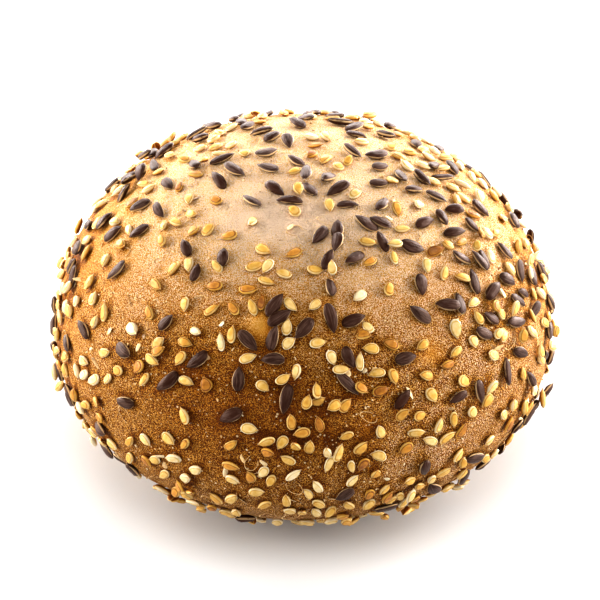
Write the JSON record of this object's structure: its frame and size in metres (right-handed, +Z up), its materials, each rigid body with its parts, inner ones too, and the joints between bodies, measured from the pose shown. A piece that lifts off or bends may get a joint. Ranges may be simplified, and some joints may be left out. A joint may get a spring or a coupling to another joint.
{
  "type": "bread roll",
  "caption": "Round domed bread roll with a browned crust covered in sesame and linseed, flat underneath.",
  "frame": {"origin": "middle of the flat underside", "axes": "+Z up through the crown, +X to the right and -Y towards the side that is seen first"},
  "size_m": [0.0981, 0.0982, 0.0642],
  "materials": {
    "crust": "baked bread crust, dry and matt, golden brown",
    "sesame_seed": "toasted sesame seed, smooth, cream to golden brown",
    "linseed": "baked linseed, wrinkled, dark brown with a grey sheen"
  },
  "bodies": {
    "root": {"bread_roll": "crust"}
  },
  "joints": []
}
